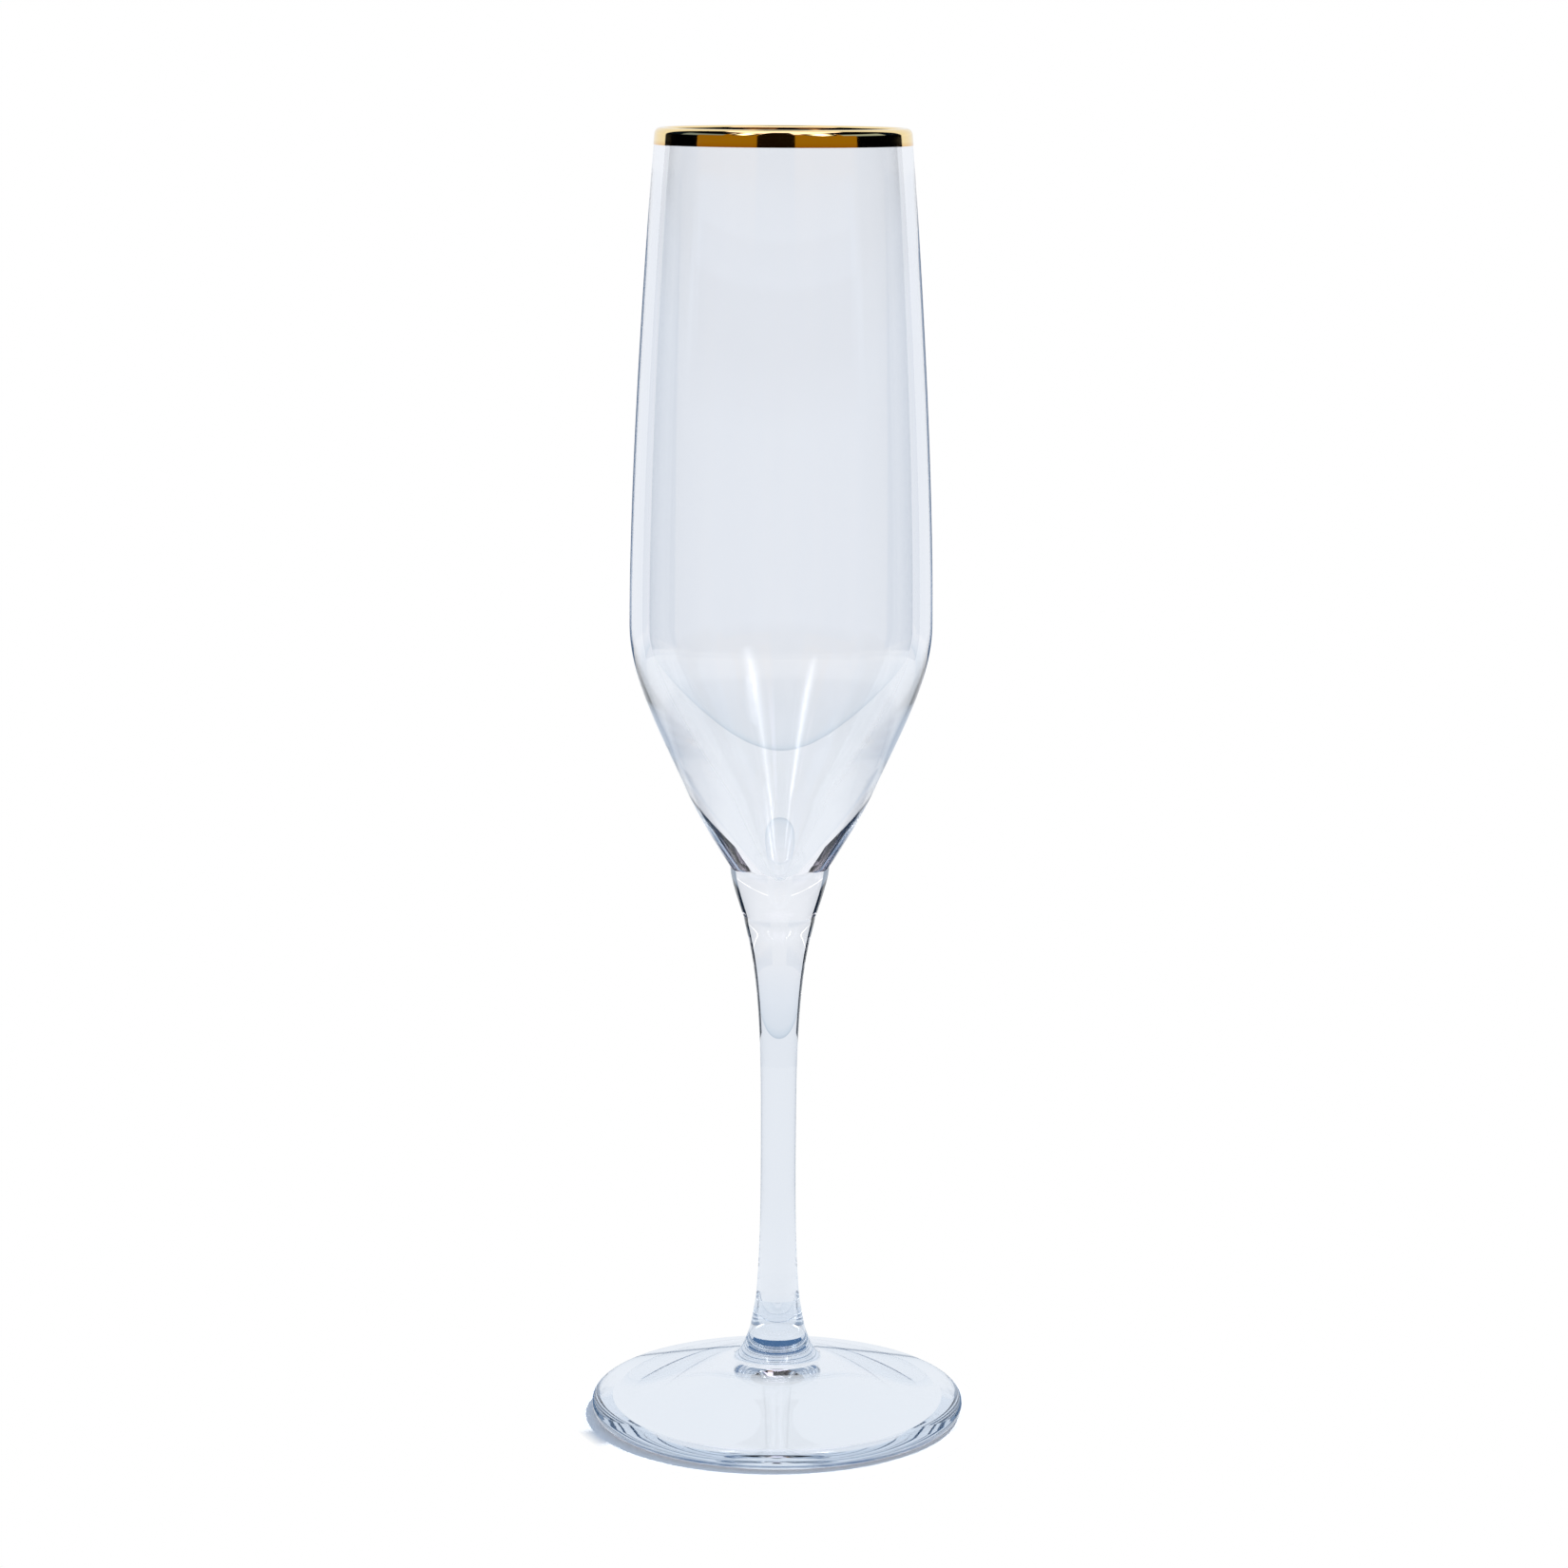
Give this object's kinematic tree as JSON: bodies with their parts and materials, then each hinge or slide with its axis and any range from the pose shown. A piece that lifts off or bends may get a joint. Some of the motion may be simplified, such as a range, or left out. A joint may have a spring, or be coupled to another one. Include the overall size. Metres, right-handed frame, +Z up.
{
  "type": "champagne flute",
  "caption": "Tall clear glass champagne flute: a barrelled, tapering bowl with a fired gold band over the lip, a slim drawn stem and a sloping round foot.",
  "frame": {"origin": "centre of the flat ring that the foot stands on", "axes": "+Z up along the flute's axis of revolution, -Y towards the viewer of the picture"},
  "size_m": [0.0684, 0.0684, 0.2351],
  "materials": {
    "clear_glass": "clear, fire-polished",
    "fired_gold": "bright, fired on the glass"
  },
  "bodies": {
    "root": {"bowl": "clear_glass", "gold_rim": "fired_gold", "stem": "clear_glass", "foot": "clear_glass"}
  },
  "joints": []
}
